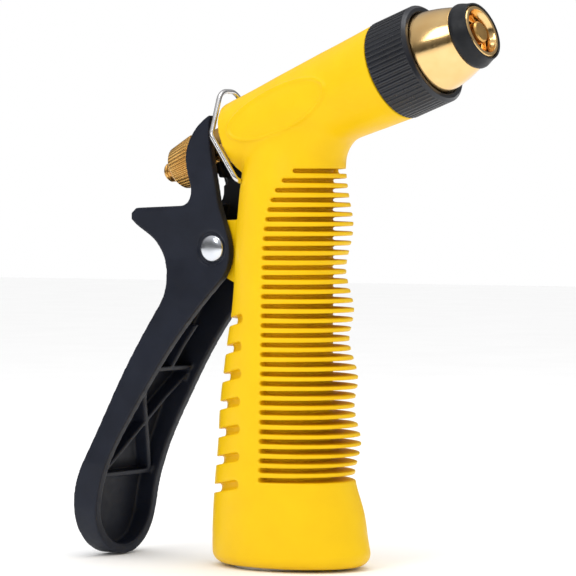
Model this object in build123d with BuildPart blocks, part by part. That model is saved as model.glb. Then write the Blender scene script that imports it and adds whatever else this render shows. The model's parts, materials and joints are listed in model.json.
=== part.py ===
from build123d import *
import os
from math import atan2, cos, degrees, exp, radians, sin, tan

# Rear-lever hose spray nozzle.  Millimetres.
# Origin: centre of the hose inlet mouth.  +X is the way it sprays, +Z up the inlet axis,
# and the nozzle is the same on both sides of the XZ plane.

# Gaps between parts that touch, and between parts that only pass
FIT = 0.05
SLACK = 0.1

# Spray axis: it rises forward from a point above the inlet
PITCH = 20.0
AXIS_HEIGHT = 137.3

# Hose inlet, 3/4-11.5 garden hose thread
HOSE_BORE_R = 13.6
HOSE_THREAD_LENGTH = 10.0
WASHER_POCKET_R = 13.9
WASHER_THICKNESS = 2.8
WASHER_POCKET_EXTRA = 0.2
WASHER_HOLE_R = 7.6
INLET_WALL_R = 15.2
INLET_BOSS_TOP = 17.0

# Water way and casting walls
WATER_WAY_R = 7.0
NECK_TUBE_R = 10.0
NECK_TUBE_FROM = 25.0
BARREL_BORE_R = 8.0
BARREL_BORE_REAR = -8.0
CASTING_REAR = -16.0
CASTING_FRONT = 43.3
CASTING_REAR_R = 10.3
CASTING_CHAMFER = 2.4
CASTING_FRONT_R = 12.8
SPIGOT_R = 13.4
SPIGOT_END = 55.2
HEAD_BORE_R = 9.5
HEAD_BORE_FROM = 46.0
GLAND_BORE_R = 6.0
GLAND_BORE_END = -9.5
MOULDING_GAP = 0.1

# Yellow cover over the barrel
COVER_REAR = -16.2
COVER_REAR_R = 12.3
COVER_FRONT = 43.2
COVER_FRONT_R = 15.3
COVER_EDGE_R = 3.4
GLAND_OPENING_R = 7.6

# Grip: height, rear X, front X and half width of each oval section
GRIP_SECTIONS = (
    (0.8, -23.2, 28.3, 19.4),
    (8.0, -23.4, 28.7, 19.5),
    (16.0, -23.1, 27.3, 19.4),
    (23.0, -22.5, 24.9, 19.2),
    (29.0, -21.9, 23.5, 19.0),
    (38.0, -21.2, 25.9, 18.6),
    (50.0, -20.3, 23.4, 18.3),
    (58.7, -19.3, 24.8, 18.0),
    (70.5, -17.3, 21.4, 17.6),
    (79.0, -15.9, 23.2, 17.4),
    (91.0, -14.6, 20.1, 17.1),
    (104.5, -14.1, 23.0, 16.8),
    (113.0, -13.4, 21.8, 16.1),
    (120.5, -12.6, 20.8, 15.1),
    (126.0, -11.9, 21.1, 13.9),
    (130.0, -11.5, 23.4, 13.1),
    (134.0, -11.2, 28.0, 12.4),
)
GRIP_FOOT_R = 3.9

# Grooves round the front of the grip
GROOVE_COUNT = 33
GROOVE_TOP = 122.0
GROOVE_BOTTOM = 28.0
GROOVE_FLOOR_R = 13.8
GROOVE_FLOOR_HALF = 0.55
GROOVE_OUTER_R = 31.0
GROOVE_OUTER_HALF = 1.3
GROOVE_CENTRE_X = 1.8
GROOVE_HALF_TURN = 85.0
GROOVE_TOP_SHORTER = 34.0
GROOVE_SHORTER_FADE = 2.4

# Slots across the back of the grip
SLOT_COUNT = 7
SLOT_TOP = 75.4
SLOT_PITCH = 8.45
SLOT_HEIGHT = 2.6
SLOT_TILT = 10.0
SLOT_DEPTH = 2.3
SLOT_FRONT_X = -4.0
SLOT_REAR_X = -34.0
SLOT_LEVEL_IN = 10.0

# Plain oval rim on each side of the barrel
OVAL_LENGTH = 39.5
OVAL_HEIGHT = 14.2
OVAL_RIM = 0.9
OVAL_RISE = 0.4
OVAL_CENTRE = (7.0, 1.1)

# Lever pivot
PIVOT_X = -20.0
PIVOT_Z = 98.2
LUG_R = 7.6
LUG_HALF = 7.0
CAST_LUG_R = 5.0
CAST_LUG_HALF = 4.0
RIVET_R = 2.4
RIVET_HEAD_R = 4.4
RIVET_HEAD_RISE = 1.7
LUG_HOLE_R = 2.42
LEVER_HOLE_R = 2.47
CHEEK_RELIEF_R = 8.8

# Lever: a channel open to the front
LEVER_WALL = 3.0
LEVER_TOP_HALF = 10.4
LEVER_FOOT_HALF = 16.5
LEVER_FOOT_Z = 0.3
LEVER_WIDENS_FROM = 95.0
LEVER_WIDENS_TO = 30.0
LEVER_TOP = 142.0
STEM_SLOT_WIDTH = 7.2
STEM_SLOT_FROM = 117.5
WEB_WINDOW = (111.9, 120.2)
RIVET_RECESS_R = 5.3
RIVET_RECESS = 0.9
RIB = 1.6
CENTRE_RIB = 14.0
CROSS_RIBS = (60.0, 26.0)
RIDGE_COUNT = 4
RIDGE_TOP = 28.6
RIDGE_PITCH = 5.05
RIDGE_R = 0.55
RIDGE_HALF = 14.5
RIDGE_SEARCH = (-80.0, -60.0)
NUT_SEAT = -31.1
NUT_SEAT_RELIEF = 17.0
NUT_POCKET_GAP = 0.6

# Washers between the lug and the lever
PIVOT_WASHER_R = 6.0
PIVOT_WASHER_GAP = 0.05
PIVOT_WASHER_THICKNESS = 0.3

# Valve stem and its nuts, as distances along the spray axis
STEM_R = 2.9
STEM_REAR = -46.4
STEM_TIP = 75.6
STEM_TIP_R = 3.3
STEM_FLANGE = (28.0, 30.5)
STEM_FLANGE_R = 6.6
SEAL_SHOULDER = (60.5, 62.0)
SEAL_SHOULDER_R = 5.2
SEAL_NECK_R = 3.6
SEAL_SEAT = 67.6
SPRING_R = 5.4
SPRING_WIRE_R = 0.65
SPRING_TURNS = 11
SPRING_REAR = -6.6
SPRING_FRONT = 26.9
WASHER_BORE_R = 3.05
GLAND_NUT_ACROSS = 12.0
GLAND_NUT_REAR = -23.2
NUT_FRONT = -31.5
NUT_REAR = -41.6
NUT_R = 8.2
NUT_REAR_R = 6.8
NUT_BORE_R = 2.97
NUT_KNURLS = 40
KNURL_R = 0.42
SEAL_R = 5.6
SEAL_NUT_ACROSS = 7.8
SEAT_AT = 65.0
PACKING_REAR = -12.6
PACKING_WASHER_REAR = -13.6
O_RING_AT = 53.0
O_RING_GROOVE_R = 8.0

# Head, bumper and collar
HEAD_SHANK_R = 9.35
HEAD_CHAMBER_R = 7.2
HEAD_FLANGE = 56.3
HEAD_FLANGE_R = 12.7
HEAD_NOSE = 70.3
HEAD_NOSE_R = 9.75
HEAD_TIP = 75.9
CUP_R = 7.6
ORIFICE_R = 4.8
BUMPER_SEAT_R = 8.5
BUMPER_R = 10.1
COLLAR_REAR = 43.5
COLLAR_FRONT = 58.2
COLLAR_R = 15.5
COLLAR_BORE_R = 13.5
COLLAR_LIP_R = 13.05
COLLAR_FLUTES = 60
FLUTE_R = 0.55

# Hold-open clip: bent wire
CLIP_WIRE_R = 0.8
CLIP_PIVOT = (-8.9, 119.0)
CLIP_SOCKET_R = 0.9
CLIP_SOCKET_END = 6.8
CLIP_EYE = (-8.9, 12.1, 119.0)
CLIP_ELBOW = (-18.4, 12.3, 133.3)
CLIP_SHOULDER = (-20.6, 4.15, 147.0)
CLIP_BENDS = (1.8, 3.0, 5.4, 5.4, 3.0, 1.8)

SPRAY = Axis((0, 0, AXIS_HEIGHT), (cos(radians(PITCH)), 0, sin(radians(PITCH))))
# Side plane of the barrel: local x runs along the spray axis, local y is up from it
BARREL = Plane(origin=(0, 0, AXIS_HEIGHT), x_dir=SPRAY.direction, z_dir=(0, -1, 0))
PIVOT = Axis((PIVOT_X, 0, PIVOT_Z), (0, 1, 0))
INLET = Axis.Z


def across(distance):
    """Plane square to the spray axis, at a distance along it, with local y up."""
    return Plane(BARREL.from_local_coords((distance, 0, 0)), x_dir=(0, -1, 0), z_dir=SPRAY.direction)


def turn(points, mode=Mode.ADD):
    """Turn a closed outline of (distance, radius) points about the spray axis."""
    with BuildSketch(BARREL) as profile:
        with BuildLine():
            Polyline(*points, close=True)
        make_face()
    revolve(profile.sketch, axis=SPRAY, mode=mode)


def ring(rear, front, inner, outer, mode=Mode.ADD):
    """Turn a plain ring about the spray axis."""
    turn(((rear, inner), (front, inner), (front, outer), (rear, outer)), mode)


def turn_upright(points, mode=Mode.ADD):
    """Turn a closed outline of (radius, height) points about the inlet axis."""
    with BuildSketch(Plane.XZ) as profile:
        with BuildLine():
            Polyline(*points, close=True)
        make_face()
    revolve(profile.sketch, axis=INLET, mode=mode)


def lug_outline(radius, root_x, top, bottom):
    """Side view of a pivot lug: a boss round the pivot drawn out to the grip."""
    with Locations((PIVOT_X, PIVOT_Z)):
        Circle(radius)
    with BuildLine() as root:
        Polyline(
            (root_x, top),
            (PIVOT_X + 2.5, PIVOT_Z + radius * 1.15),
            (PIVOT_X, PIVOT_Z + radius),
            (PIVOT_X, PIVOT_Z - radius),
            (root_x, bottom),
            close=True,
        )
    make_face(root.line)


def casting_form(gap, mode=Mode.ADD):
    """Outside of the metal casting, grown by a gap: barrel, neck, inlet boss and lug."""
    turn(
        (
            (CASTING_REAR - gap, 0),
            (CASTING_FRONT + gap, 0),
            (CASTING_FRONT + gap, CASTING_FRONT_R + gap),
            (CASTING_REAR + CASTING_CHAMFER, CASTING_REAR_R + gap),
            (CASTING_REAR - gap, CASTING_REAR_R - CASTING_CHAMFER),
        ),
        mode,
    )
    turn_upright(
        (
            (0, 0),
            (INLET_WALL_R + gap, 0),
            (INLET_WALL_R + gap, INLET_BOSS_TOP + gap),
            (NECK_TUBE_R + gap, NECK_TUBE_FROM + gap),
            (NECK_TUBE_R + gap, AXIS_HEIGHT),
            (0, AXIS_HEIGHT),
        ),
        mode,
    )
    with BuildSketch(Plane.XZ) as lug:
        lug_outline(CAST_LUG_R + gap, -5.0, PIVOT_Z + CAST_LUG_R + gap, PIVOT_Z - CAST_LUG_R - gap)
    extrude(lug.sketch, amount=CAST_LUG_HALF + gap, both=True, mode=mode)


def grip_form(inset):
    """Loft the grip through its oval sections, each drawn in by an inset."""
    sections = Sketch()
    for height, rear, front, half in GRIP_SECTIONS:
        with BuildSketch(Plane.XY.offset(height)) as oval:
            with Locations(((rear + front) / 2, 0)):
                Ellipse((front - rear) / 2 - inset, half - inset)
        sections += oval.sketch
    loft(sections.faces().sort_by(Axis.Z))


def lever_front_outline(inset):
    """Front view of the lever, drawn in by an inset: parallel at the top, widening to a round foot."""
    top = LEVER_TOP_HALF - inset
    foot = LEVER_FOOT_HALF - inset
    foot_centre = LEVER_FOOT_Z + LEVER_FOOT_HALF
    end = LEVER_TOP + 1
    with BuildLine() as outline:
        Polyline((-foot, foot_centre), (-foot, LEVER_WIDENS_TO), (-top, LEVER_WIDENS_FROM))
        Polyline((-top, LEVER_WIDENS_FROM), (-top, end), (top, end), (top, LEVER_WIDENS_FROM))
        Polyline((top, LEVER_WIDENS_FROM), (foot, LEVER_WIDENS_TO), (foot, foot_centre))
        RadiusArc((foot, foot_centre), (-foot, foot_centre), foot)
    make_face(outline.line)


# ---- Metal casting ----
with BuildPart() as body_casting:
    casting_form(0)
    ring(CASTING_FRONT, SPIGOT_END, 0, SPIGOT_R)
    ring(CASTING_REAR - 1, GLAND_BORE_END, 0, GLAND_BORE_R, Mode.SUBTRACT)
    ring(GLAND_BORE_END - 1, BARREL_BORE_REAR, 0, WASHER_BORE_R, Mode.SUBTRACT)
    ring(BARREL_BORE_REAR, HEAD_BORE_FROM + 1, 0, BARREL_BORE_R, Mode.SUBTRACT)
    ring(HEAD_BORE_FROM, SPIGOT_END + 1, 0, HEAD_BORE_R, Mode.SUBTRACT)
    washer_top = HOSE_THREAD_LENGTH + WASHER_THICKNESS + WASHER_POCKET_EXTRA
    turn_upright(
        (
            (0, -1),
            (HOSE_BORE_R, -1),
            (HOSE_BORE_R, HOSE_THREAD_LENGTH),
            (WASHER_POCKET_R, HOSE_THREAD_LENGTH),
            (WASHER_POCKET_R, washer_top),
            (WATER_WAY_R, washer_top),
            (WATER_WAY_R, AXIS_HEIGHT),
            (0, AXIS_HEIGHT),
        ),
        Mode.SUBTRACT,
    )
    with BuildSketch(Plane.XZ) as rivet_hole:
        with Locations((PIVOT_X, PIVOT_Z)):
            Circle(LUG_HOLE_R)
    extrude(rivet_hole.sketch, amount=LUG_HALF * 2, both=True, mode=Mode.SUBTRACT)

# ---- Tools that cut the grip ----
with BuildPart() as grip_core:
    grip_form(SLOT_DEPTH)

with BuildPart() as back_slots:
    slot_length = SLOT_FRONT_X - SLOT_REAR_X
    slot_middle = (SLOT_FRONT_X + SLOT_REAR_X) / 2
    slot_drop = (slot_length / 2 - SLOT_LEVEL_IN) * tan(radians(SLOT_TILT))
    with BuildSketch(Plane.XZ) as slots:
        for number in range(SLOT_COUNT):
            with Locations((slot_middle, SLOT_TOP - number * SLOT_PITCH - slot_drop)):
                SlotOverall(slot_length, SLOT_HEIGHT, rotation=SLOT_TILT)
    extrude(amount=LEVER_FOOT_HALF * 2, both=True)
    add(grip_core.part, mode=Mode.SUBTRACT)

with BuildPart() as grip_grooves:
    for number in range(GROOVE_COUNT):
        height = GROOVE_TOP - number * (GROOVE_TOP - GROOVE_BOTTOM) / (GROOVE_COUNT - 1)
        half_turn = GROOVE_HALF_TURN - GROOVE_TOP_SHORTER * exp(-number / GROOVE_SHORTER_FADE)
        x, y = cos(radians(half_turn)), -sin(radians(half_turn))
        start = Plane((GROOVE_CENTRE_X, 0, height), x_dir=(x, y, 0), z_dir=(y, -x, 0))
        with BuildSketch(start):
            with BuildLine():
                Polyline(
                    (GROOVE_FLOOR_R, -GROOVE_FLOOR_HALF),
                    (GROOVE_OUTER_R, -GROOVE_OUTER_HALF),
                    (GROOVE_OUTER_R, GROOVE_OUTER_HALF),
                    (GROOVE_FLOOR_R, GROOVE_FLOOR_HALF),
                    close=True,
                )
            make_face()
        revolve(axis=Axis((GROOVE_CENTRE_X, 0, 0), (0, 0, 1)), revolution_arc=2 * half_turn)

# ---- Plain oval rims for the barrel sides ----
with BuildPart() as oval_rims:
    with BuildSketch(BARREL) as rim:
        with Locations(OVAL_CENTRE):
            Ellipse(OVAL_LENGTH / 2, OVAL_HEIGHT / 2)
            Ellipse(OVAL_LENGTH / 2 - OVAL_RIM, OVAL_HEIGHT / 2 - OVAL_RIM, mode=Mode.SUBTRACT)
    extrude(amount=COLLAR_R * 2, both=True)
    turn(
        (
            (COVER_REAR, 0),
            (COVER_FRONT, 0),
            (COVER_FRONT, COVER_FRONT_R + OVAL_RISE),
            (COVER_REAR, COVER_REAR_R + OVAL_RISE),
        ),
        Mode.INTERSECT,
    )

# ---- Yellow grip cover ----
with BuildPart() as grip_cover:
    grip_form(0)
    fillet(edges().group_by(Axis.Z)[0], radius=GRIP_FOOT_R)
    with BuildSketch(Plane.XZ) as cover_lug:
        lug_outline(LUG_R, -6.0, 107.4, 84.0)
    extrude(cover_lug.sketch, amount=LUG_HALF, both=True)
    add(back_slots.part, mode=Mode.SUBTRACT)
    add(grip_grooves.part, mode=Mode.SUBTRACT)
    with BuildSketch(BARREL) as barrel_side:
        with BuildLine():
            Polyline(
                (COVER_REAR, 0),
                (COVER_FRONT, 0),
                (COVER_FRONT, COVER_FRONT_R),
                (COVER_REAR, COVER_REAR_R),
                close=True,
            )
        make_face()
        fillet(barrel_side.vertices().group_by(SPRAY)[0].sort_by(Axis.Z)[-1], radius=COVER_EDGE_R)
    revolve(barrel_side.sketch, axis=SPRAY)
    add(oval_rims.part)
    casting_form(MOULDING_GAP, Mode.SUBTRACT)
    ring(COVER_REAR - 1, CASTING_REAR + 1, 0, GLAND_OPENING_R, Mode.SUBTRACT)
    with BuildSketch(Plane.XZ) as cover_rivet_hole:
        with Locations((PIVOT_X, PIVOT_Z)):
            Circle(LUG_HOLE_R)
    extrude(cover_rivet_hole.sketch, amount=LUG_HALF * 2, both=True, mode=Mode.SUBTRACT)
    for side in (-1, 1):
        with BuildSketch(Plane.XZ.offset(side * LUG_HALF)) as relief:
            with Locations((PIVOT_X, PIVOT_Z)):
                Circle(CHEEK_RELIEF_R)
        extrude(relief.sketch, amount=side * LUG_HALF, mode=Mode.SUBTRACT)
        with BuildSketch(Plane.XZ.offset(side * CLIP_SOCKET_END)) as socket:
            with Locations(CLIP_PIVOT):
                Circle(CLIP_SOCKET_R)
        extrude(socket.sketch, amount=side * LUG_HALF * 2, mode=Mode.SUBTRACT)

# ---- Lever ----
# Side outline: rear edge from the tip down, round the foot, and back up the front edge
with BuildSketch(Plane.XZ) as lever_side:
    with BuildLine():
        tip = (-20.6, 139.6)
        Spline(tip, (-24.8, 136.6), (-28.4, 131.8), (-29.8, 126.6), (-29.0, 121.0), (-27.8, 117.0))
        Spline((-27.8, 117.0), (-28.6, 113.2), (-32.3, 111.4), tangents=[(0, -1), (-1, 0)])
        Polyline((-32.3, 111.4), (-49.0, 110.8), (-50.8, 109.2), (-50.8, 107.1))
        Spline((-50.8, 107.1), (-47.6, 104.6), (-42.4, 101.2), (-38.0, 95.0), (-36.8, 87.5), (-39.6, 79.5))
        foot_rear = (-68.4, LEVER_FOOT_Z)
        foot_front = (-60.4, LEVER_FOOT_Z)
        Spline((-39.6, 79.5), (-51.4, 59.3), (-63.6, 34.3), (-68.6, 22.5), (-69.2, 12.0), foot_rear)
        Line(foot_rear, foot_front)
        Spline(foot_front, (-60.5, 14.7), (-59.0, 23.0), (-45.9, 49.4), (-35.4, 65.5), (-17.2, 87.2))
        Spline((-17.2, 87.2), (-13.8, 92.6), (-13.2, 98.4), (-14.8, 104.8), (-17.5, 112.5))
        Spline((-17.5, 112.5), (-19.5, 123.0), (-20.7, 131.5), tip)
    make_face()

# Front outline: parallel at the top, widening down to a round foot
with BuildSketch(Plane.YZ) as lever_front:
    lever_front_outline(0)

# Side outline of the hollow between the cheeks, open to the front
with BuildSketch(Plane.XZ) as hollow_side:
    with BuildLine():
        Polyline((-34.0, LEVER_TOP), (-34.0, 131.5), (-25.3, 131.5))
        Spline((-25.3, 131.5), (-26.6, 125.0), (-25.2, 119.5), (-24.6, 114.0))
        Polyline((-24.6, 114.0), (-26.4, 108.3), (-41.0, 107.8), (-41.0, 103.8))
        Spline((-41.0, 103.8), (-35.4, 96.0), (-33.7, 87.5), (-36.7, 80.4))
        floor_rear = (-66.1, LEVER_FOOT_Z + LEVER_WALL)
        Spline((-36.7, 80.4), (-48.7, 60.0), (-60.8, 35.3), (-65.6, 22.6), floor_rear)
        Polyline(
            floor_rear,
            (-50.0, LEVER_FOOT_Z + LEVER_WALL),
            (-50.0, 30.0),
            (-5.0, 85.0),
            (-5.0, LEVER_TOP),
            (-34.0, LEVER_TOP),
        )
    make_face()

# Front outline of the hollow: the lever's own, drawn in by the wall
with BuildSketch(Plane.YZ) as hollow_front:
    lever_front_outline(LEVER_WALL)

# Side outline of the ribs that stiffen the lower channel
with BuildSketch(Plane.XZ) as rib_depth:
    with BuildLine():
        Polyline(
            (-72.0, 20.0),
            (-62.4, 20.0),
            (-61.4, 24.0),
            (-48.6, 50.6),
            (-37.8, 67.0),
            (-30.0, 77.0),
            (-45.0, 84.0),
            close=True,
        )
    make_face()

with BuildPart() as lever_ribs:
    with BuildSketch(Plane.YZ):
        rib_span = CROSS_RIBS[0] - CROSS_RIBS[1]
        rib_tilt = degrees(atan2(rib_span, 2 * LEVER_TOP_HALF + 5))
        with Locations((0, (CROSS_RIBS[0] + CROSS_RIBS[1]) / 2)):
            Rectangle(rib_span * 1.25, RIB, rotation=rib_tilt)
            Rectangle(rib_span * 1.25, RIB, rotation=-rib_tilt)
        with Locations(*[(0, height) for height in CROSS_RIBS]):
            Rectangle(2 * LEVER_FOOT_HALF, RIB)
        with Locations((0, CROSS_RIBS[0] + CENTRE_RIB / 2)):
            Rectangle(RIB, CENTRE_RIB)
    extrude(amount=LEVER_TOP, both=True)
    extrude(rib_depth.sketch, amount=LEVER_FOOT_HALF * 2, both=True, mode=Mode.INTERSECT)

with BuildPart() as lever_hollow:
    extrude(hollow_side.sketch, amount=LEVER_FOOT_HALF * 2, both=True)
    extrude(hollow_front.sketch, amount=LEVER_TOP, both=True, mode=Mode.INTERSECT)
    add(lever_ribs.part, mode=Mode.SUBTRACT)

with BuildPart() as trigger_lever:
    extrude(lever_side.sketch, amount=LEVER_FOOT_HALF * 2, both=True)
    extrude(lever_front.sketch, amount=LEVER_TOP, both=True, mode=Mode.INTERSECT)
    add(lever_hollow.part, mode=Mode.SUBTRACT)
    # Open slot in the upper web for the stem, and the window below it
    with BuildSketch(Plane.YZ) as stem_slot:
        with Locations((0, STEM_SLOT_FROM)):
            Circle(STEM_SLOT_WIDTH / 2)
            Rectangle(STEM_SLOT_WIDTH, LEVER_TOP, align=(Align.CENTER, Align.MIN))
        with Locations((0, sum(WEB_WINDOW) / 2)):
            Rectangle(2 * (LEVER_TOP_HALF - LEVER_WALL), WEB_WINDOW[1] - WEB_WINDOW[0])
    extrude(stem_slot.sketch, amount=-LEVER_TOP, mode=Mode.SUBTRACT)
    # Pocket behind the upper web where the adjusting nut bears, falling away above the stem
    pocket_half = NUT_R + NUT_POCKET_GAP
    with BuildSketch(BARREL) as nut_seat:
        with BuildLine():
            Polyline(
                (NUT_SEAT, -pocket_half),
                (NUT_SEAT, 0),
                (NUT_SEAT + pocket_half * tan(radians(NUT_SEAT_RELIEF)), pocket_half),
                (NUT_SEAT * 2, pocket_half),
                (NUT_SEAT * 2, -pocket_half),
                close=True,
            )
        make_face()
    extrude(nut_seat.sketch, amount=pocket_half, both=True, mode=Mode.SUBTRACT)
    with BuildSketch(Plane.XZ) as lever_hole:
        with Locations((PIVOT_X, PIVOT_Z)):
            Circle(LEVER_HOLE_R)
    extrude(lever_hole.sketch, amount=LEVER_FOOT_HALF, both=True, mode=Mode.SUBTRACT)
    for side in (-1, 1):
        with BuildSketch(Plane.XZ.offset(side * (LEVER_TOP_HALF - RIVET_RECESS))) as head_recess:
            with Locations((PIVOT_X, PIVOT_Z)):
                Circle(RIVET_RECESS_R)
        extrude(head_recess.sketch, amount=side * LEVER_WALL, mode=Mode.SUBTRACT)
    # Grip ridges across the back of the foot
    for number in range(RIDGE_COUNT):
        height = RIDGE_TOP - number * RIDGE_PITCH
        level = Line((RIDGE_SEARCH[0], 0, height), (RIDGE_SEARCH[1], 0, height), mode=Mode.PRIVATE)
        rear_x = (lever_side.sketch.face() & level).vertices().sort_by(Axis.X)[0].X
        with BuildSketch(Plane.XZ) as ridge:
            with Locations((rear_x, height)):
                Circle(RIDGE_R)
        extrude(ridge.sketch, amount=RIDGE_HALF, both=True)

# ---- Pivot ----
with BuildPart() as pivot_rivet:
    head_seat = LEVER_TOP_HALF - RIVET_RECESS + SLACK
    head_top = head_seat + RIVET_HEAD_RISE
    with BuildSketch(Plane(origin=PIVOT.position, x_dir=(0, 1, 0), z_dir=(1, 0, 0))) as rivet_side:
        with BuildLine():
            Polyline((head_top, 0), (0, 0), (0, RIVET_R), (head_seat, RIVET_R), (head_seat, RIVET_HEAD_R))
            Spline((head_seat, RIVET_HEAD_R), (head_top, 0), tangents=[(1, -0.4), (0, -1)])
        make_face()
    revolve(rivet_side.sketch, axis=PIVOT)
    mirror(about=Plane.XZ)

with BuildPart() as pivot_washers:
    for side in (-1, 1):
        with BuildSketch(Plane.XZ.offset(side * (LUG_HALF + PIVOT_WASHER_GAP))) as pivot_washer:
            with Locations((PIVOT_X, PIVOT_Z)):
                Circle(PIVOT_WASHER_R)
                Circle(LEVER_HOLE_R, mode=Mode.SUBTRACT)
        extrude(pivot_washer.sketch, amount=side * PIVOT_WASHER_THICKNESS)

# ---- Valve stem and what rides on it ----
with BuildPart() as valve_stem:
    turn(
        (
            (STEM_REAR, 0),
            (STEM_TIP, 0),
            (STEM_TIP, STEM_TIP_R - 0.5),
            (STEM_TIP - 0.5, STEM_TIP_R),
            (SEAL_SEAT + 1.0, STEM_TIP_R),
            (SEAL_SEAT, SEAL_NECK_R),
            (SEAL_SHOULDER[1], SEAL_NECK_R),
            (SEAL_SHOULDER[1], SEAL_SHOULDER_R),
            (SEAL_SHOULDER[0], SEAL_SHOULDER_R),
            (SEAL_SHOULDER[0], STEM_R),
            (STEM_FLANGE[1], STEM_R),
            (STEM_FLANGE[1], STEM_FLANGE_R),
            (STEM_FLANGE[0], STEM_FLANGE_R),
            (STEM_FLANGE[0], STEM_R),
            (STEM_REAR + 0.6, STEM_R),
            (STEM_REAR, STEM_R - 0.6),
        )
    )

with BuildPart() as stem_seal:
    turn(
        (
            (SEAL_SHOULDER[1] + FIT, SEAL_NECK_R + FIT),
            (SEAL_SEAT - 1.6, SEAL_NECK_R + FIT),
            (SEAL_SEAT - 1.6, SEAL_R - 1.4),
            (SEAL_SEAT - 3.0, SEAL_R),
            (SEAL_SHOULDER[1] + FIT, SEAL_R),
        )
    )

with BuildPart() as seal_nut:
    with BuildSketch(across(SEAL_SEAT - 1.5)) as seal_hex:
        RegularPolygon(SEAL_NUT_ACROSS / 2, 6, major_radius=False)
        Circle(SEAL_NECK_R + FIT, mode=Mode.SUBTRACT)
    extrude(seal_hex.sketch, amount=1.4)

with BuildPart() as spring_washer:
    ring(SPRING_FRONT + FIT + SLACK, STEM_FLANGE[0] - FIT, WASHER_BORE_R, STEM_FLANGE_R)

with BuildPart() as spring_seat:
    ring(BARREL_BORE_REAR + FIT, SPRING_REAR - FIT - SLACK, WASHER_BORE_R, BARREL_BORE_R - SLACK)

with BuildPart() as stem_spring:
    spring_length = SPRING_FRONT - SPRING_REAR - 2 * SPRING_WIRE_R
    with BuildLine() as coil:
        Helix(
            pitch=spring_length / SPRING_TURNS,
            height=spring_length,
            radius=SPRING_R,
            center=BARREL.from_local_coords((SPRING_REAR + SPRING_WIRE_R, 0, 0)),
            direction=SPRAY.direction,
        )
    with BuildSketch(Plane(coil.line @ 0, z_dir=coil.line % 0)) as wire:
        Circle(SPRING_WIRE_R)
    sweep(wire.sketch, path=coil.line, is_frenet=True)

with BuildPart() as stem_packing:
    ring(PACKING_REAR, GLAND_BORE_END - FIT, STEM_R + FIT, GLAND_BORE_R - FIT)

with BuildPart() as packing_washer:
    ring(PACKING_WASHER_REAR, PACKING_REAR - FIT, WASHER_BORE_R, GLAND_BORE_R - SLACK)

with BuildPart() as gland_nut:
    gland_seat = CASTING_REAR - FIT
    ring(gland_seat, PACKING_WASHER_REAR - FIT, WASHER_BORE_R, GLAND_BORE_R - FIT)
    with BuildSketch(across(GLAND_NUT_REAR)) as gland_hex:
        RegularPolygon(GLAND_NUT_ACROSS / 2, 6, major_radius=False)
        Circle(WASHER_BORE_R, mode=Mode.SUBTRACT)
    extrude(gland_hex.sketch, amount=gland_seat - GLAND_NUT_REAR)
    turn(
        (
            (GLAND_NUT_REAR, 0),
            (GLAND_BORE_END, 0),
            (GLAND_BORE_END, GLAND_NUT_ACROSS * 0.6),
            (GLAND_NUT_REAR + 0.8, GLAND_NUT_ACROSS * 0.6),
            (GLAND_NUT_REAR, GLAND_NUT_ACROSS * 0.5),
        ),
        Mode.INTERSECT,
    )

with BuildPart() as adjusting_nut:
    turn(
        (
            (NUT_FRONT, NUT_BORE_R),
            (NUT_FRONT, NUT_R - 1.2),
            (NUT_FRONT - 1.0, NUT_R - 1.0),
            (NUT_FRONT - 1.4, NUT_R),
            (NUT_REAR + 0.7, NUT_REAR_R),
            (NUT_REAR, NUT_REAR_R - 0.7),
            (NUT_REAR, NUT_BORE_R),
        )
    )
    # Knurls run along the cone of the nut's rim
    knurl_length = NUT_FRONT - NUT_REAR
    knurl_tilt = degrees(atan2(NUT_R - NUT_REAR_R, knurl_length))
    with Locations(across((NUT_FRONT + NUT_REAR) / 2)):
        with PolarLocations((NUT_R + NUT_REAR_R) / 2 + SLACK, NUT_KNURLS):
            Cylinder(KNURL_R, knurl_length * 1.2, rotation=(0, knurl_tilt, 0), mode=Mode.SUBTRACT)

# ---- Spray head and its collar ----
with BuildPart() as spray_head:
    with BuildSketch(BARREL) as head_side:
        with BuildLine():
            Polyline(
                (HEAD_BORE_FROM + 0.5, HEAD_CHAMBER_R),
                (HEAD_BORE_FROM + 0.5, HEAD_SHANK_R),
                (O_RING_AT - 1.0, HEAD_SHANK_R),
                (O_RING_AT - 1.0, O_RING_GROOVE_R),
                (O_RING_AT + 1.0, O_RING_GROOVE_R),
                (O_RING_AT + 1.0, HEAD_SHANK_R),
                (HEAD_FLANGE, HEAD_SHANK_R),
                (HEAD_FLANGE, HEAD_FLANGE_R),
                (HEAD_FLANGE + 1.8, HEAD_FLANGE_R),
            )
            Spline(
                (HEAD_FLANGE + 1.8, HEAD_FLANGE_R),
                (HEAD_NOSE, HEAD_NOSE_R),
                tangents=[(1, -0.1), (1, -0.36)],
            )
            Polyline(
                (HEAD_NOSE, HEAD_NOSE_R),
                (HEAD_NOSE, BUMPER_SEAT_R),
                (HEAD_TIP - 0.8, BUMPER_SEAT_R),
                (HEAD_TIP - 0.8, CUP_R + 0.5),
                (HEAD_TIP - 0.3, CUP_R + 0.5),
                (HEAD_TIP, CUP_R + 0.2),
                (HEAD_TIP, CUP_R - 0.7),
            )
            Spline(
                (HEAD_TIP, CUP_R - 0.7),
                (HEAD_TIP - 2.9, CUP_R - 1.7),
                (HEAD_TIP - 4.4, ORIFICE_R + 0.7),
                tangents=[(-1, -0.25), (-0.2, -1)],
            )
            Polyline(
                (HEAD_TIP - 4.4, ORIFICE_R + 0.7),
                (HEAD_TIP - 3.8, ORIFICE_R + 0.5),
                (HEAD_TIP - 3.8, ORIFICE_R),
                (SEAT_AT + 0.7, ORIFICE_R),
                (SEAT_AT - 1.9, HEAD_CHAMBER_R),
                (HEAD_BORE_FROM + 0.5, HEAD_CHAMBER_R),
            )
        make_face()
    revolve(head_side.sketch, axis=SPRAY)

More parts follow.
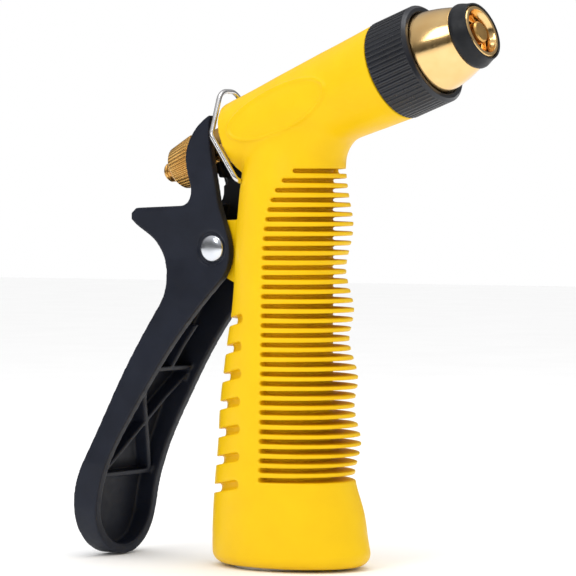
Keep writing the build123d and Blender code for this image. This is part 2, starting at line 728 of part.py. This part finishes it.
with BuildPart() as head_o_ring:
    with BuildSketch(BARREL) as o_ring_side:
        with Locations((O_RING_AT, O_RING_GROOVE_R + 0.72)):
            Circle(0.7)
    revolve(o_ring_side.sketch, axis=SPRAY)

with BuildPart() as head_bumper:
    with BuildSketch(BARREL) as bumper_side:
        with BuildLine():
            Polyline(
                (HEAD_TIP - 0.4, CUP_R + 0.75),
                (HEAD_TIP - 0.75, BUMPER_SEAT_R + FIT),
                (HEAD_NOSE + FIT, BUMPER_SEAT_R + FIT),
                (HEAD_NOSE + FIT, BUMPER_R - 0.4),
            )
            Spline(
                (HEAD_NOSE + FIT, BUMPER_R - 0.4),
                (HEAD_NOSE + 0.6, BUMPER_R),
                (HEAD_TIP - 1.2, BUMPER_R - 0.9),
                (HEAD_TIP + 0.1, BUMPER_R - 1.4),
                (HEAD_TIP - 0.4, CUP_R + 0.75),
            )
        make_face()
    revolve(bumper_side.sketch, axis=SPRAY)

with BuildPart() as thread_collar:
    turn(
        (
            (COLLAR_REAR, COLLAR_BORE_R),
            (COLLAR_REAR, COLLAR_R - 0.3),
            (COLLAR_REAR + 0.3, COLLAR_R),
            (COLLAR_FRONT - 0.9, COLLAR_R),
            (COLLAR_FRONT - 0.3, COLLAR_R - 0.7),
            (COLLAR_FRONT, COLLAR_R - 1.0),
            (COLLAR_FRONT, COLLAR_LIP_R + 0.3),
            (COLLAR_FRONT - 0.3, COLLAR_LIP_R),
            (COLLAR_FRONT - 2.4, COLLAR_LIP_R),
            (COLLAR_FRONT - 2.4, COLLAR_BORE_R),
        )
    )
    with BuildSketch(across(COLLAR_REAR - 1)) as flutes:
        with PolarLocations(COLLAR_R + SLACK, COLLAR_FLUTES):
            Circle(FLUTE_R)
    extrude(flutes.sketch, amount=COLLAR_FRONT - COLLAR_REAR, mode=Mode.SUBTRACT)

# ---- Hold-open clip: one wire bent to shape ----
with BuildPart() as hold_open_clip:
    wire_end = (CLIP_EYE[0], CLIP_SOCKET_END + 0.3, CLIP_EYE[2])
    near_side = (wire_end, CLIP_EYE, CLIP_ELBOW, CLIP_SHOULDER)
    far_side = [(x, -y, z) for x, y, z in reversed(near_side)]
    with BuildLine() as clip_path:
        FilletPolyline(*near_side, *far_side, radius=CLIP_BENDS)
    with BuildSketch(Plane(clip_path.line @ 0, z_dir=clip_path.line % 0)) as clip_wire:
        Circle(CLIP_WIRE_R)
    sweep(clip_wire.sketch, path=clip_path.line)

# ---- Washer in the hose inlet ----
with BuildPart() as hose_washer:
    washer_bottom = HOSE_THREAD_LENGTH + SLACK
    turn_upright(
        (
            (WASHER_HOLE_R, washer_bottom),
            (WASHER_POCKET_R - SLACK, washer_bottom),
            (WASHER_POCKET_R - SLACK, washer_bottom + WASHER_THICKNESS),
            (WASHER_HOLE_R, washer_bottom + WASHER_THICKNESS),
        )
    )

pieces = {
    "body_casting": body_casting,
    "grip_cover": grip_cover,
    "thread_collar": thread_collar,
    "spray_head": spray_head,
    "head_bumper": head_bumper,
    "head_o_ring": head_o_ring,
    "valve_stem": valve_stem,
    "stem_seal": stem_seal,
    "seal_nut": seal_nut,
    "stem_spring": stem_spring,
    "spring_washer": spring_washer,
    "spring_seat": spring_seat,
    "stem_packing": stem_packing,
    "packing_washer": packing_washer,
    "gland_nut": gland_nut,
    "adjusting_nut": adjusting_nut,
    "trigger_lever": trigger_lever,
    "pivot_rivet": pivot_rivet,
    "pivot_washers": pivot_washers,
    "hold_open_clip": hold_open_clip,
    "hose_washer": hose_washer,
}
os.makedirs("parts", exist_ok=True)
for name, piece in pieces.items():
    piece.part.label = name
    export_step(piece.part, f"parts/{name}.step")
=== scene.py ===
import json
from math import atan, cos, pi, radians, sin

import bmesh
import bpy
import numpy as np
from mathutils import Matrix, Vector


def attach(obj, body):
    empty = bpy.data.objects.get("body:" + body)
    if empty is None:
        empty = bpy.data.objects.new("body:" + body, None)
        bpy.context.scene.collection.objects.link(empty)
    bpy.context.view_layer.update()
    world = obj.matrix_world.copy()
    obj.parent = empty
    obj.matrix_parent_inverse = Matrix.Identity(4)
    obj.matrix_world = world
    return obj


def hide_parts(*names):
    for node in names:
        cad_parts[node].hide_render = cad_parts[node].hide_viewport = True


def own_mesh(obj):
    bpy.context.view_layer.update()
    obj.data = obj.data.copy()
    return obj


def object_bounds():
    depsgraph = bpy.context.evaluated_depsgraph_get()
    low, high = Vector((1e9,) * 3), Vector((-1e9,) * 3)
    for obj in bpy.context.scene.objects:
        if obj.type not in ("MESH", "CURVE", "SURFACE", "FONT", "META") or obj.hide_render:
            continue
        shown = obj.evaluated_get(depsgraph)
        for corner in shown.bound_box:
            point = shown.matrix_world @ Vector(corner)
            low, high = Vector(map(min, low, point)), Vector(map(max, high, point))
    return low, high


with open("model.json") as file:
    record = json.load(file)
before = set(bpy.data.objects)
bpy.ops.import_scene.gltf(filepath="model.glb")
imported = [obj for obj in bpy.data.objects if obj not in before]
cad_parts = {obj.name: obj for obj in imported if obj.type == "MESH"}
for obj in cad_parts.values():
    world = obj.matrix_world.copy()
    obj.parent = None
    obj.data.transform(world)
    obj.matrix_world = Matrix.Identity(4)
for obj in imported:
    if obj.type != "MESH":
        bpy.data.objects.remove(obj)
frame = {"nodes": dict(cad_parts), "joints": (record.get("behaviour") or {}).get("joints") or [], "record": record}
cad_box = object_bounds()
NODES = frame["nodes"]
MM = 0.001


# ---------------------------------------------------------------- places from the frame

JOINTS = {joint["name"]: joint for joint in frame["joints"]}

# The spray axis runs up and forward through the barrel, and its start is the point above the inlet
SPRAY = Vector(JOINTS["nut_turn"]["axis"]).normalized()
SPRAY_AT = Vector(JOINTS["collar_turn"]["pos_m"])
AXIS_START = SPRAY_AT - SPRAY * (SPRAY_AT.x / SPRAY.x)
UP = Vector((0, -1, 0)).cross(SPRAY)


def middle(corners):
    """Middle of a lowest and highest corner."""
    return (Vector(corners[0]) + Vector(corners[1])) / 2


def link_to_scene(thing):
    """Puts a new object in the scene."""
    bpy.context.scene.collection.objects.link(thing)


# ---------------------------------------------------------------- node material helpers

# Noise keeps mostly to this middle part of its range from 0 to 1
NOISE_LOW, NOISE_HIGH = 0.3, 0.7


class Shader:
    """A new node material with its Principled shader, and short calls that add nodes to it.

    With an edge radius, the edges look rounded by that much in the material's bump.
    """

    def __init__(self, name, colour, roughness, metallic=0.0, edge=0.3 * MM):
        self.material = bpy.data.materials.new(name)
        self.material.use_nodes = True
        self.tree = self.material.node_tree
        self.principled = self.tree.nodes["Principled BSDF"]
        self.set("Base Color", (*colour, 1))
        self.set("Roughness", roughness)
        self.set("Metallic", metallic)
        self.bump_from = None
        self.edge = edge

    def set(self, socket, value):
        """Constant value for a socket of the shader."""
        self.principled.inputs[socket].default_value = value

    def link(self, source, target):
        """Joins two sockets."""
        self.tree.links.new(source, target)

    def place(self, scale=(1, 1, 1), rotation=(0, 0, 0)):
        """Object coordinates, in metres, stretched and turned."""
        coordinates = self.tree.nodes.new("ShaderNodeTexCoord")
        mapping = self.tree.nodes.new("ShaderNodeMapping")
        mapping.inputs["Scale"].default_value = scale
        mapping.inputs["Rotation"].default_value = rotation
        self.link(coordinates.outputs["Object"], mapping.inputs["Vector"])
        return mapping.outputs["Vector"]

    def noise(self, size, detail=2.0, vector=None):
        """Noise whose lumps are about size metres across."""
        node = self.tree.nodes.new("ShaderNodeTexNoise")
        node.inputs["Scale"].default_value = 1 / size
        node.inputs["Detail"].default_value = detail
        self.link(vector or self.place(), node.inputs["Vector"])
        return node.outputs["Fac"]

    def ramp(self, factor, stops):
        """Colour ramp through (position, colour) stops."""
        node = self.tree.nodes.new("ShaderNodeValToRGB")
        elements = node.color_ramp.elements
        elements[0].position, elements[0].color = stops[0][0], (*stops[0][1], 1)
        elements[1].position, elements[1].color = stops[-1][0], (*stops[-1][1], 1)
        for position, colour in stops[1:-1]:
            elements.new(position).color = (*colour, 1)
        self.link(factor, node.inputs["Fac"])
        return node.outputs["Color"]

    def spread(self, factor, low, high):
        """Factor stretched to run from low to high."""
        node = self.tree.nodes.new("ShaderNodeMapRange")
        node.inputs["From Min"].default_value = NOISE_LOW
        node.inputs["From Max"].default_value = NOISE_HIGH
        node.inputs["To Min"].default_value = low
        node.inputs["To Max"].default_value = high
        self.link(factor, node.inputs["Value"])
        return node.outputs["Result"]

    def bump(self, height, distance):
        """Bump of a given depth in metres, on top of any that is there."""
        node = self.tree.nodes.new("ShaderNodeBump")
        node.inputs["Distance"].default_value = distance
        node.inputs["Strength"].default_value = 1.0
        self.link(height, node.inputs["Height"])
        if self.edge and not self.bump_from:
            edge = self.tree.nodes.new("ShaderNodeBevel")
            edge.samples = 4
            edge.inputs["Radius"].default_value = self.edge
            self.bump_from = edge.outputs["Normal"]
        if self.bump_from:
            self.link(self.bump_from, node.inputs["Normal"])
        self.bump_from = node.outputs["Normal"]
        self.link(self.bump_from, self.principled.inputs["Normal"])

    def wire(self, output, socket):
        """Joins an output to a socket of the shader."""
        self.link(output, self.principled.inputs[socket])


def moulded_plastic(name, colour, shade, roughness, grain, gloss=0.25):
    """Moulded plastic: faint mottling, uneven gloss and a fine spark-eroded grain."""
    shader = Shader(name, colour, roughness)
    mottle = shader.noise(9 * MM, 3)
    shader.wire(shader.ramp(mottle, ((NOISE_LOW, shade), (NOISE_HIGH, colour))), "Base Color")
    shader.wire(shader.spread(shader.noise(2.5 * MM, 4), roughness - 0.05, roughness + 0.07), "Roughness")
    shader.bump(shader.noise(0.35 * MM, 2), grain)
    shader.set("Specular IOR Level", gloss)
    return shader.material


def turned_metal(name, colour, tint, roughness, marks, ring):
    """Metal turned on a lathe about the spray axis: fine rings and a little tarnish."""
    shader = Shader(name, colour, roughness, 1.0)
    lean = atan(SPRAY.z / SPRAY.x)
    rings = shader.place(scale=(1, 0.03, 0.03), rotation=(0, lean, 0))
    tarnish = shader.noise(7 * MM, 3)
    shader.wire(shader.ramp(tarnish, ((0.32, tint), (0.68, colour))), "Base Color")
    shader.wire(shader.spread(shader.noise(ring, 3, rings), roughness * 0.8, roughness * 1.35), "Roughness")
    shader.bump(shader.noise(ring, 2, rings), marks)
    return shader.material


def soft_rubber(name, colour, shade, roughness):
    """Rubber: matt, with a faint bloom."""
    shader = Shader(name, colour, roughness)
    bloom = shader.noise(4 * MM, 4)
    shader.wire(shader.ramp(bloom, ((NOISE_LOW, shade), (NOISE_HIGH, colour))), "Base Color")
    shader.wire(shader.spread(shader.noise(1.2 * MM, 3), roughness - 0.06, roughness + 0.08), "Roughness")
    shader.bump(shader.noise(0.5 * MM, 3), 0.01 * MM)
    shader.set("Specular IOR Level", 0.3)
    return shader.material


def plated_metal(name, colour, tint, roughness, grain_size):
    """Plated or drawn steel: slight cloudiness and fine scratches."""
    shader = Shader(name, colour, roughness, 1.0, edge=0)
    cloud = shader.noise(3 * MM, 3)
    shader.wire(shader.ramp(cloud, ((NOISE_LOW, tint), (NOISE_HIGH, colour))), "Base Color")
    shader.wire(shader.spread(shader.noise(grain_size, 4), roughness * 0.9, roughness * 1.15), "Roughness")
    shader.bump(shader.noise(grain_size, 1), grain_size * 0.0015)
    return shader.material


# Each finish has its colour, the darker colour that it mottles towards, its roughness, and then what its
# function takes for texture: a plastic's grain and gloss, a turned metal's marks and rings, or the grain of
# a plated metal
PLASTICS = {
    "grip_yellow": ((0.850, 0.535, 0.002), (0.825, 0.505, 0.002), 0.40, 0.010 * MM, 0.18),
    "lever_black": ((0.010, 0.013, 0.024), (0.007, 0.009, 0.017), 0.46, 0.016 * MM),
    "collar_black": ((0.008, 0.010, 0.016), (0.005, 0.006, 0.010), 0.30, 0.008 * MM, 0.6),
    "white_nylon": ((0.80, 0.79, 0.75), (0.74, 0.73, 0.69), 0.40, 0.010 * MM),
}
TURNED_METALS = {
    "polished_brass": ((0.93, 0.64, 0.29), (0.89, 0.57, 0.23), 0.15, 0.0015 * MM, 0.30 * MM),
    "turned_brass": ((0.78, 0.47, 0.15), (0.62, 0.34, 0.09), 0.30, 0.002 * MM, 0.35 * MM),
}
RUBBERS = {
    "black_rubber": ((0.0075, 0.0085, 0.0115), (0.005, 0.006, 0.008), 0.46),
}
PLATED_METALS = {
    "cast_metal": ((0.52, 0.53, 0.54), (0.42, 0.43, 0.44), 0.45, 0.8 * MM),
    "plated_steel": ((0.80, 0.82, 0.86), (0.70, 0.73, 0.78), 0.22, 0.9 * MM),
    "stainless_wire": ((0.80, 0.79, 0.78), (0.66, 0.65, 0.64), 0.20, 1.5 * MM),
}
FINISHES = (
    (moulded_plastic, PLASTICS),
    (turned_metal, TURNED_METALS),
    (soft_rubber, RUBBERS),
    (plated_metal, PLATED_METALS),
)
MATERIALS = {
    slot: make_material(slot, *settings)
    for make_material, slots in FINISHES
    for slot, settings in slots.items()
}


def dress(piece, slot):
    """Gives a piece one slot's material."""
    piece.data.materials.clear()
    piece.data.materials.append(MATERIALS[slot])


for subpart in frame["record"]["subparts"]:
    dress(NODES[subpart["node"]], subpart["material_slot"])

SMOOTH_ANGLE = radians(32)
for node in NODES.values():
    node.data.shade_smooth()
    node.data.set_sharp_from_angle(angle=SMOOTH_ANGLE)


# ---------------------------------------------------------------- softer copies of moulded parts

# Barrel of the grip cover: distance along the spray axis and radius at its two ends
BARREL_ENDS = ((-16.2 * MM, 12.3 * MM), (43.2 * MM, 15.3 * MM))
# Top of the grip: height, rear X, front X and half width of its oval sections
GRIP_TOP = np.array((
    (113.0, -13.4, 21.8, 16.1),
    (120.5, -12.6, 20.8, 15.1),
    (126.0, -11.9, 21.1, 13.9),
    (130.0, -11.5, 23.4, 13.1),
    (134.0, -11.2, 28.0, 12.4),
)) * MM

# The weight of the smoothing is BLEND_PEAK at the crease, drops by 1 for each BLEND away from it and is held
# between 0 and 1. It is 0 below BLEND_BOTTOM and behind BLEND_REAR, from where it fades in over
# BLEND_FADE_IN.
BLEND = 3.4 * MM
BLEND_PEAK = 1.6
BLEND_BOTTOM = 122.9 * MM
BLEND_REAR = -12 * MM
BLEND_FADE_IN = 5 * MM
BLEND_LEVELS = 5
CREASE_SMOOTHING = {"factor": 0.9, "iterations": 90, "vertex_group": "crease"}

# Plain oval on the barrel's side: its middle and half size along the spray axis and across it
OVAL_AT = (7.0 * MM, 1.1 * MM)
OVAL_HALF = (19.3 * MM, 6.65 * MM)
# Its rim: height, half width, and how far from it and how much the barrel is smoothed before it is raised
RIM_RISE = 0.6 * MM
RIM_HALF = 0.5 * MM
RIM_REACH = 1.2 * MM
RIM_SMOOTHING = 0.8
# Only the barrel's outer skin is raised, and only this far or further to either side of the middle
BARREL_SKIN = 1.2 * MM
BARREL_SIDE = 6 * MM


def applied(piece, *modifiers):
    """Adds modifiers, each a type and its settings, and turns their result into the piece's own mesh."""
    for kind, settings in modifiers:
        modifier = piece.modifiers.new(kind.lower(), kind)
        for name, value in settings.items():
            setattr(modifier, name, value)
    graph = bpy.context.evaluated_depsgraph_get()
    mesh = bpy.data.meshes.new_from_object(piece.evaluated_get(graph))
    piece.modifiers.clear()
    old = piece.data
    piece.data = mesh
    bpy.data.meshes.remove(old)


def coordinates(mesh):
    """Places of all the mesh's points, one row each."""
    places = np.empty(len(mesh.vertices) * 3)
    mesh.vertices.foreach_get("co", places)
    return places.reshape(-1, 3)


def barrel_places(places):
    """Each point's distance along the spray axis, and how far it is outside the barrel of the cover."""
    axis = np.array(SPRAY)
    from_start = places - np.array(AXIS_START)
    distance = from_start @ axis
    radial = np.linalg.norm(from_start - np.outer(distance, axis), axis=1)
    return distance, radial - np.interp(distance, *zip(*BARREL_ENDS))


def rim_distance(places):
    """How far each point is outside the oval on the barrel's side, as seen from that side."""
    local = places - np.array(AXIS_START)
    across = local @ np.array(SPRAY) - OVAL_AT[0]
    upward = local @ np.array(UP) - OVAL_AT[1]
    round_oval = np.hypot(across / OVAL_HALF[0], upward / OVAL_HALF[1])
    slope = np.hypot(across / OVAL_HALF[0] ** 2, upward / OVAL_HALF[1] ** 2) / round_oval
    return (round_oval - 1) / slope


def blend_weight(places):
    """How much each point is smoothed, from 0 to 1: most in the crease of grip and barrel and on the rim."""
    distance, outside_barrel = barrel_places(places)
    off_barrel = np.abs(outside_barrel)
    rear = np.interp(places[:, 2], GRIP_TOP[:, 0], GRIP_TOP[:, 1])
    front = np.interp(places[:, 2], GRIP_TOP[:, 0], GRIP_TOP[:, 2])
    half = np.interp(places[:, 2], GRIP_TOP[:, 0], GRIP_TOP[:, 3])
    oval = np.hypot((places[:, 0] - (rear + front) / 2) / ((front - rear) / 2), places[:, 1] / half)
    off_grip = np.abs(oval - 1) * half
    weight = np.clip(BLEND_PEAK - np.maximum(off_barrel, off_grip) / BLEND, 0, 1)
    weight *= np.clip((distance - BLEND_REAR) / BLEND_FADE_IN, 0, 1)
    weight[places[:, 2] < BLEND_BOTTOM] = 0
    return np.maximum(weight, RIM_SMOOTHING * (np.abs(rim_distance(places)) < RIM_REACH))


def raise_rim(mesh):
    """Raises the plain oval rim on both sides of the barrel."""
    places = coordinates(mesh)
    normals = np.empty(len(places) * 3)
    mesh.vertices.foreach_get("normal", normals)
    normals = normals.reshape(-1, 3)
    outside_barrel = barrel_places(places)[1]
    side = (outside_barrel > -BARREL_SKIN) & (np.abs(places[:, 1]) > BARREL_SIDE)
    rise = RIM_RISE * np.exp(-((rim_distance(places) / RIM_HALF) ** 2)) * side
    places += normals * rise[:, None]
    mesh.vertices.foreach_set("co", places.ravel())
    mesh.update()


def soft_copy(node, slot, body, voxel, keep, rounds, blended=False):
    """Copy of a moulded part with softened edges, in place of the CAD part's own mesh.

    It is remeshed at the voxel size, smoothed a number of rounds and thinned to the kept share of its faces.
    """
    piece = bpy.data.objects.new("soft_" + node, NODES[node].data.copy())
    link_to_scene(piece)
    applied(piece, ("REMESH", {"mode": "VOXEL", "voxel_size": voxel}))
    if blended:
        weights = blend_weight(coordinates(piece.data))
        group = piece.vertex_groups.new(name="crease")
        for level in range(1, BLEND_LEVELS + 1):
            chosen = np.nonzero(np.ceil(weights * BLEND_LEVELS) == level)[0]
            group.add(chosen.tolist(), level / BLEND_LEVELS, "REPLACE")
        applied(piece, ("SMOOTH", CREASE_SMOOTHING))
        piece.vertex_groups.clear()
        raise_rim(piece.data)
    applied(piece, ("SMOOTH", {"factor": 0.5, "iterations": rounds}), ("DECIMATE", {"ratio": keep}))
    piece.data.shade_smooth()
    dress(piece, slot)
    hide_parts(node)
    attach(piece, body)


soft_copy("grip_cover", "grip_yellow", "body", 0.40 * MM, 0.22, 2, blended=True)
soft_copy("trigger_lever", "lever_black", "lever", 0.35 * MM, 0.40, 7)


# ---------------------------------------------------------------- spring


def squashed_spring():
    """Copy of the spring that rides the body."""
    piece = bpy.data.objects.new("coil_spring", NODES["stem_spring"].data.copy())
    link_to_scene(piece)
    dress(piece, "stainless_wire")
    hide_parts("stem_spring")
    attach(piece, "body")
    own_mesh(piece)


squashed_spring()


# ---------------------------------------------------------------- threads

# Section of a thread's ridge, from root to crest and back: share of the pitch, and whether it is at the crest
RIDGE = ((0.0, 0), (0.18, 0), (0.44, 1), (0.56, 1), (0.82, 0))
# The ridge runs out at both ends, over this share of a turn
RUN_OUT = 0.35
THREAD_SHARP_ANGLE = radians(25)


def thread(name, slot, body, start, axis, side, length, pitch, root, crest, steps):
    """Helical ridge between a root radius and a crest radius, along an axis from a start point."""
    axis = Vector(axis).normalized()
    side = (Vector(side) - axis * axis.dot(Vector(side))).normalized()
    other = axis.cross(side)
    profile = [(part, crest if at_crest else root) for part, at_crest in RIDGE]
    mesh = bmesh.new()
    turns = length / pitch - 1
    count = int(turns * steps)
    rows = []
    for number in range(count + 1):
        angle = 2 * pi * number / steps
        ends = min(1.0, number / (steps * RUN_OUT), (count - number) / (steps * RUN_OUT))
        out = side * cos(angle) + other * sin(angle)
        row = []
        for part, radius in profile:
            advance = axis * (pitch * (part + number / steps))
            row.append(mesh.verts.new(Vector(start) + advance + out * (root + (radius - root) * ends)))
        rows.append(row)
    for row, following in zip(rows, rows[1:]):
        for k in range(len(profile) - 1):
            mesh.faces.new((row[k], row[k + 1], following[k + 1], following[k]))
    bmesh.ops.recalc_face_normals(mesh, faces=mesh.faces)
    data = bpy.data.meshes.new(name)
    mesh.to_mesh(data)
    mesh.free()
    piece = bpy.data.objects.new(name, data)
    link_to_scene(piece)
    data.shade_smooth()
    data.set_sharp_from_angle(angle=THREAD_SHARP_ANGLE)
    dress(piece, slot)
    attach(piece, body)


# The hose thread is inside the inlet, so its crest is nearer the middle than its root
INLET_THREAD = {
    "start": (0, 0, 0.2 * MM),
    "axis": (0, 0, 1),
    "side": (1, 0, 0),
    "length": 9.7 * MM,
    "pitch": 2.209 * MM,
    "root": 13.58 * MM,
    "crest": 12.45 * MM,
    "steps": 72,
}
thread("inlet_thread", "cast_metal", "body", **INLET_THREAD)

# The stem's thread shows behind the adjusting nut and in front of it, from these places on the axis
STEM_THREAD = {
    "axis": SPRAY,
    "side": (0, 1, 0),
    "pitch": 1.0 * MM,
    "root": 2.86 * MM,
    "crest": 3.18 * MM,
    "steps": 36,
}
STEM_THREADS = (
    ("stem_thread_rear", -46.0, 4.6),
    ("stem_thread_front", -31.4, 5.4),
)
for name, rear, length in STEM_THREADS:
    start = AXIS_START + SPRAY * rear * MM
    thread(name, "turned_brass", "stem", start, length=length * MM, **STEM_THREAD)


# ---------------------------------------------------------------- studio

# The photograph's view: angles round and up, distance, lens and the shift of its aim from the middle
CENTRE = middle(cad_box)
AZIMUTH, ELEVATION = radians(34), radians(1.5)
DISTANCE = 1.0
LENS = 202.5
SENSOR = 36.0
AIM_SHIFT = Vector((-0.45 * MM, 0, 0.25 * MM))
TOWARDS = Vector((sin(AZIMUTH) * cos(ELEVATION), -cos(AZIMUTH) * cos(ELEVATION), sin(ELEVATION)))
RIGHT = Vector((cos(AZIMUTH), sin(AZIMUTH), 0))
ABOVE = TOWARDS.cross(RIGHT)

FLOOR_SIZE = 3.0
FLOOR_GAP = 0.05 * MM
WORLD_STRENGTH = 1.0
# Brightness of the surroundings in reflections, by height from the horizon to straight up
SKY = (
    (0.0, (0.04, 0.04, 0.04)),
    (0.20, (0.12, 0.12, 0.12)),
    (0.50, (0.42, 0.42, 0.43)),
    (1.0, (0.75, 0.75, 0.77)),
)
# The Mix node's colour sockets go by number, because the sockets for its other types have the same names
MIX_A, MIX_B, MIX_RESULT = 6, 7, 2


def area_light(name, place, size, power):
    """Soft rectangular lamp at place, turned to the middle of the object."""
    data = bpy.data.lights.new(name, "AREA")
    data.shape = "RECTANGLE"
    data.size, data.size_y = size
    data.energy = power
    lamp = bpy.data.objects.new(name, data)
    lamp.location = place
    lamp.rotation_euler = (CENTRE - place).to_track_quat("-Z", "Y").to_euler()
    link_to_scene(lamp)


def seen(right, above, towards):
    """Place given from the centre of the object by distances in the camera's view."""
    return CENTRE + RIGHT * right + ABOVE * above + TOWARDS * towards


def make_camera():
    """Camera at the photograph's angle."""
    data = bpy.data.cameras.new("camera")
    data.lens = LENS
    data.sensor_width = SENSOR
    data.clip_start, data.clip_end = 0.01, 20
    camera = bpy.data.objects.new("camera", data)
    camera.location = CENTRE + AIM_SHIFT + TOWARDS * DISTANCE
    camera.rotation_euler = TOWARDS.to_track_quat("Z", "Y").to_euler()
    link_to_scene(camera)
    bpy.context.scene.camera = camera


def plane(name, corners, material):
    """Flat four-cornered surface of the stage, which isn't part of the object."""
    mesh = bpy.data.meshes.new(name)
    mesh.from_pydata(corners, [], [(0, 1, 2, 3)])
    mesh.materials.append(material)
    surface = bpy.data.objects.new(name, mesh)
    link_to_scene(surface)


def make_floor():
    """Plain pale floor that the object stands on."""
    shader = Shader("pale_floor", (0.96, 0.96, 0.96), 0.9)
    mottle = shader.noise(60 * MM, 2)
    shades = ((NOISE_LOW, (0.95, 0.95, 0.95)), (NOISE_HIGH, (0.97, 0.97, 0.97)))
    shader.wire(shader.ramp(mottle, shades), "Base Color")
    shader.set("Specular IOR Level", 0.1)
    height = cad_box[0][2] - FLOOR_GAP
    square = ((-1, -1), (1, -1), (1, 1), (-1, 1))
    plane("floor", [(x * FLOOR_SIZE, y * FLOOR_SIZE, height) for x, y in square], shader.material)


def make_world():
    """Even white surroundings, whose reflection is dimmer near the horizon than overhead."""
    world = bpy.data.worlds.new("studio")
    world.use_nodes = True
    nodes, links = world.node_tree.nodes, world.node_tree.links
    background = nodes["Background"]
    background.inputs["Strength"].default_value = WORLD_STRENGTH
    direction = nodes.new("ShaderNodeTexCoord")
    split = nodes.new("ShaderNodeSeparateXYZ")
    ramp = nodes.new("ShaderNodeValToRGB")
    elements = ramp.color_ramp.elements
    elements[0].color = (*SKY[0][1], 1)
    elements[1].color = (*SKY[-1][1], 1)
    for height, colour in SKY[1:-1]:
        elements.new(height).color = (*colour, 1)
    path = nodes.new("ShaderNodeLightPath")
    mix = nodes.new("ShaderNodeMix")
    mix.data_type = "RGBA"
    links.new(direction.outputs["Generated"], split.inputs["Vector"])
    links.new(split.outputs["Z"], ramp.inputs["Fac"])
    links.new(path.outputs["Is Glossy Ray"], mix.inputs["Factor"])
    mix.inputs[MIX_A].default_value = (1, 1, 1, 1)
    links.new(ramp.outputs["Color"], mix.inputs[MIX_B])
    links.new(mix.outputs[MIX_RESULT], background.inputs["Color"])
    bpy.context.scene.world = world


make_camera()
make_floor()
make_world()
area_light("key", seen(-0.45, 0.60, 0.60), (0.30, 0.45), 1.9)
area_light("top", seen(0.10, 0.90, 0.10), (0.6, 0.5), 2.2)
bpy.context.scene.view_settings.view_transform = "Standard"
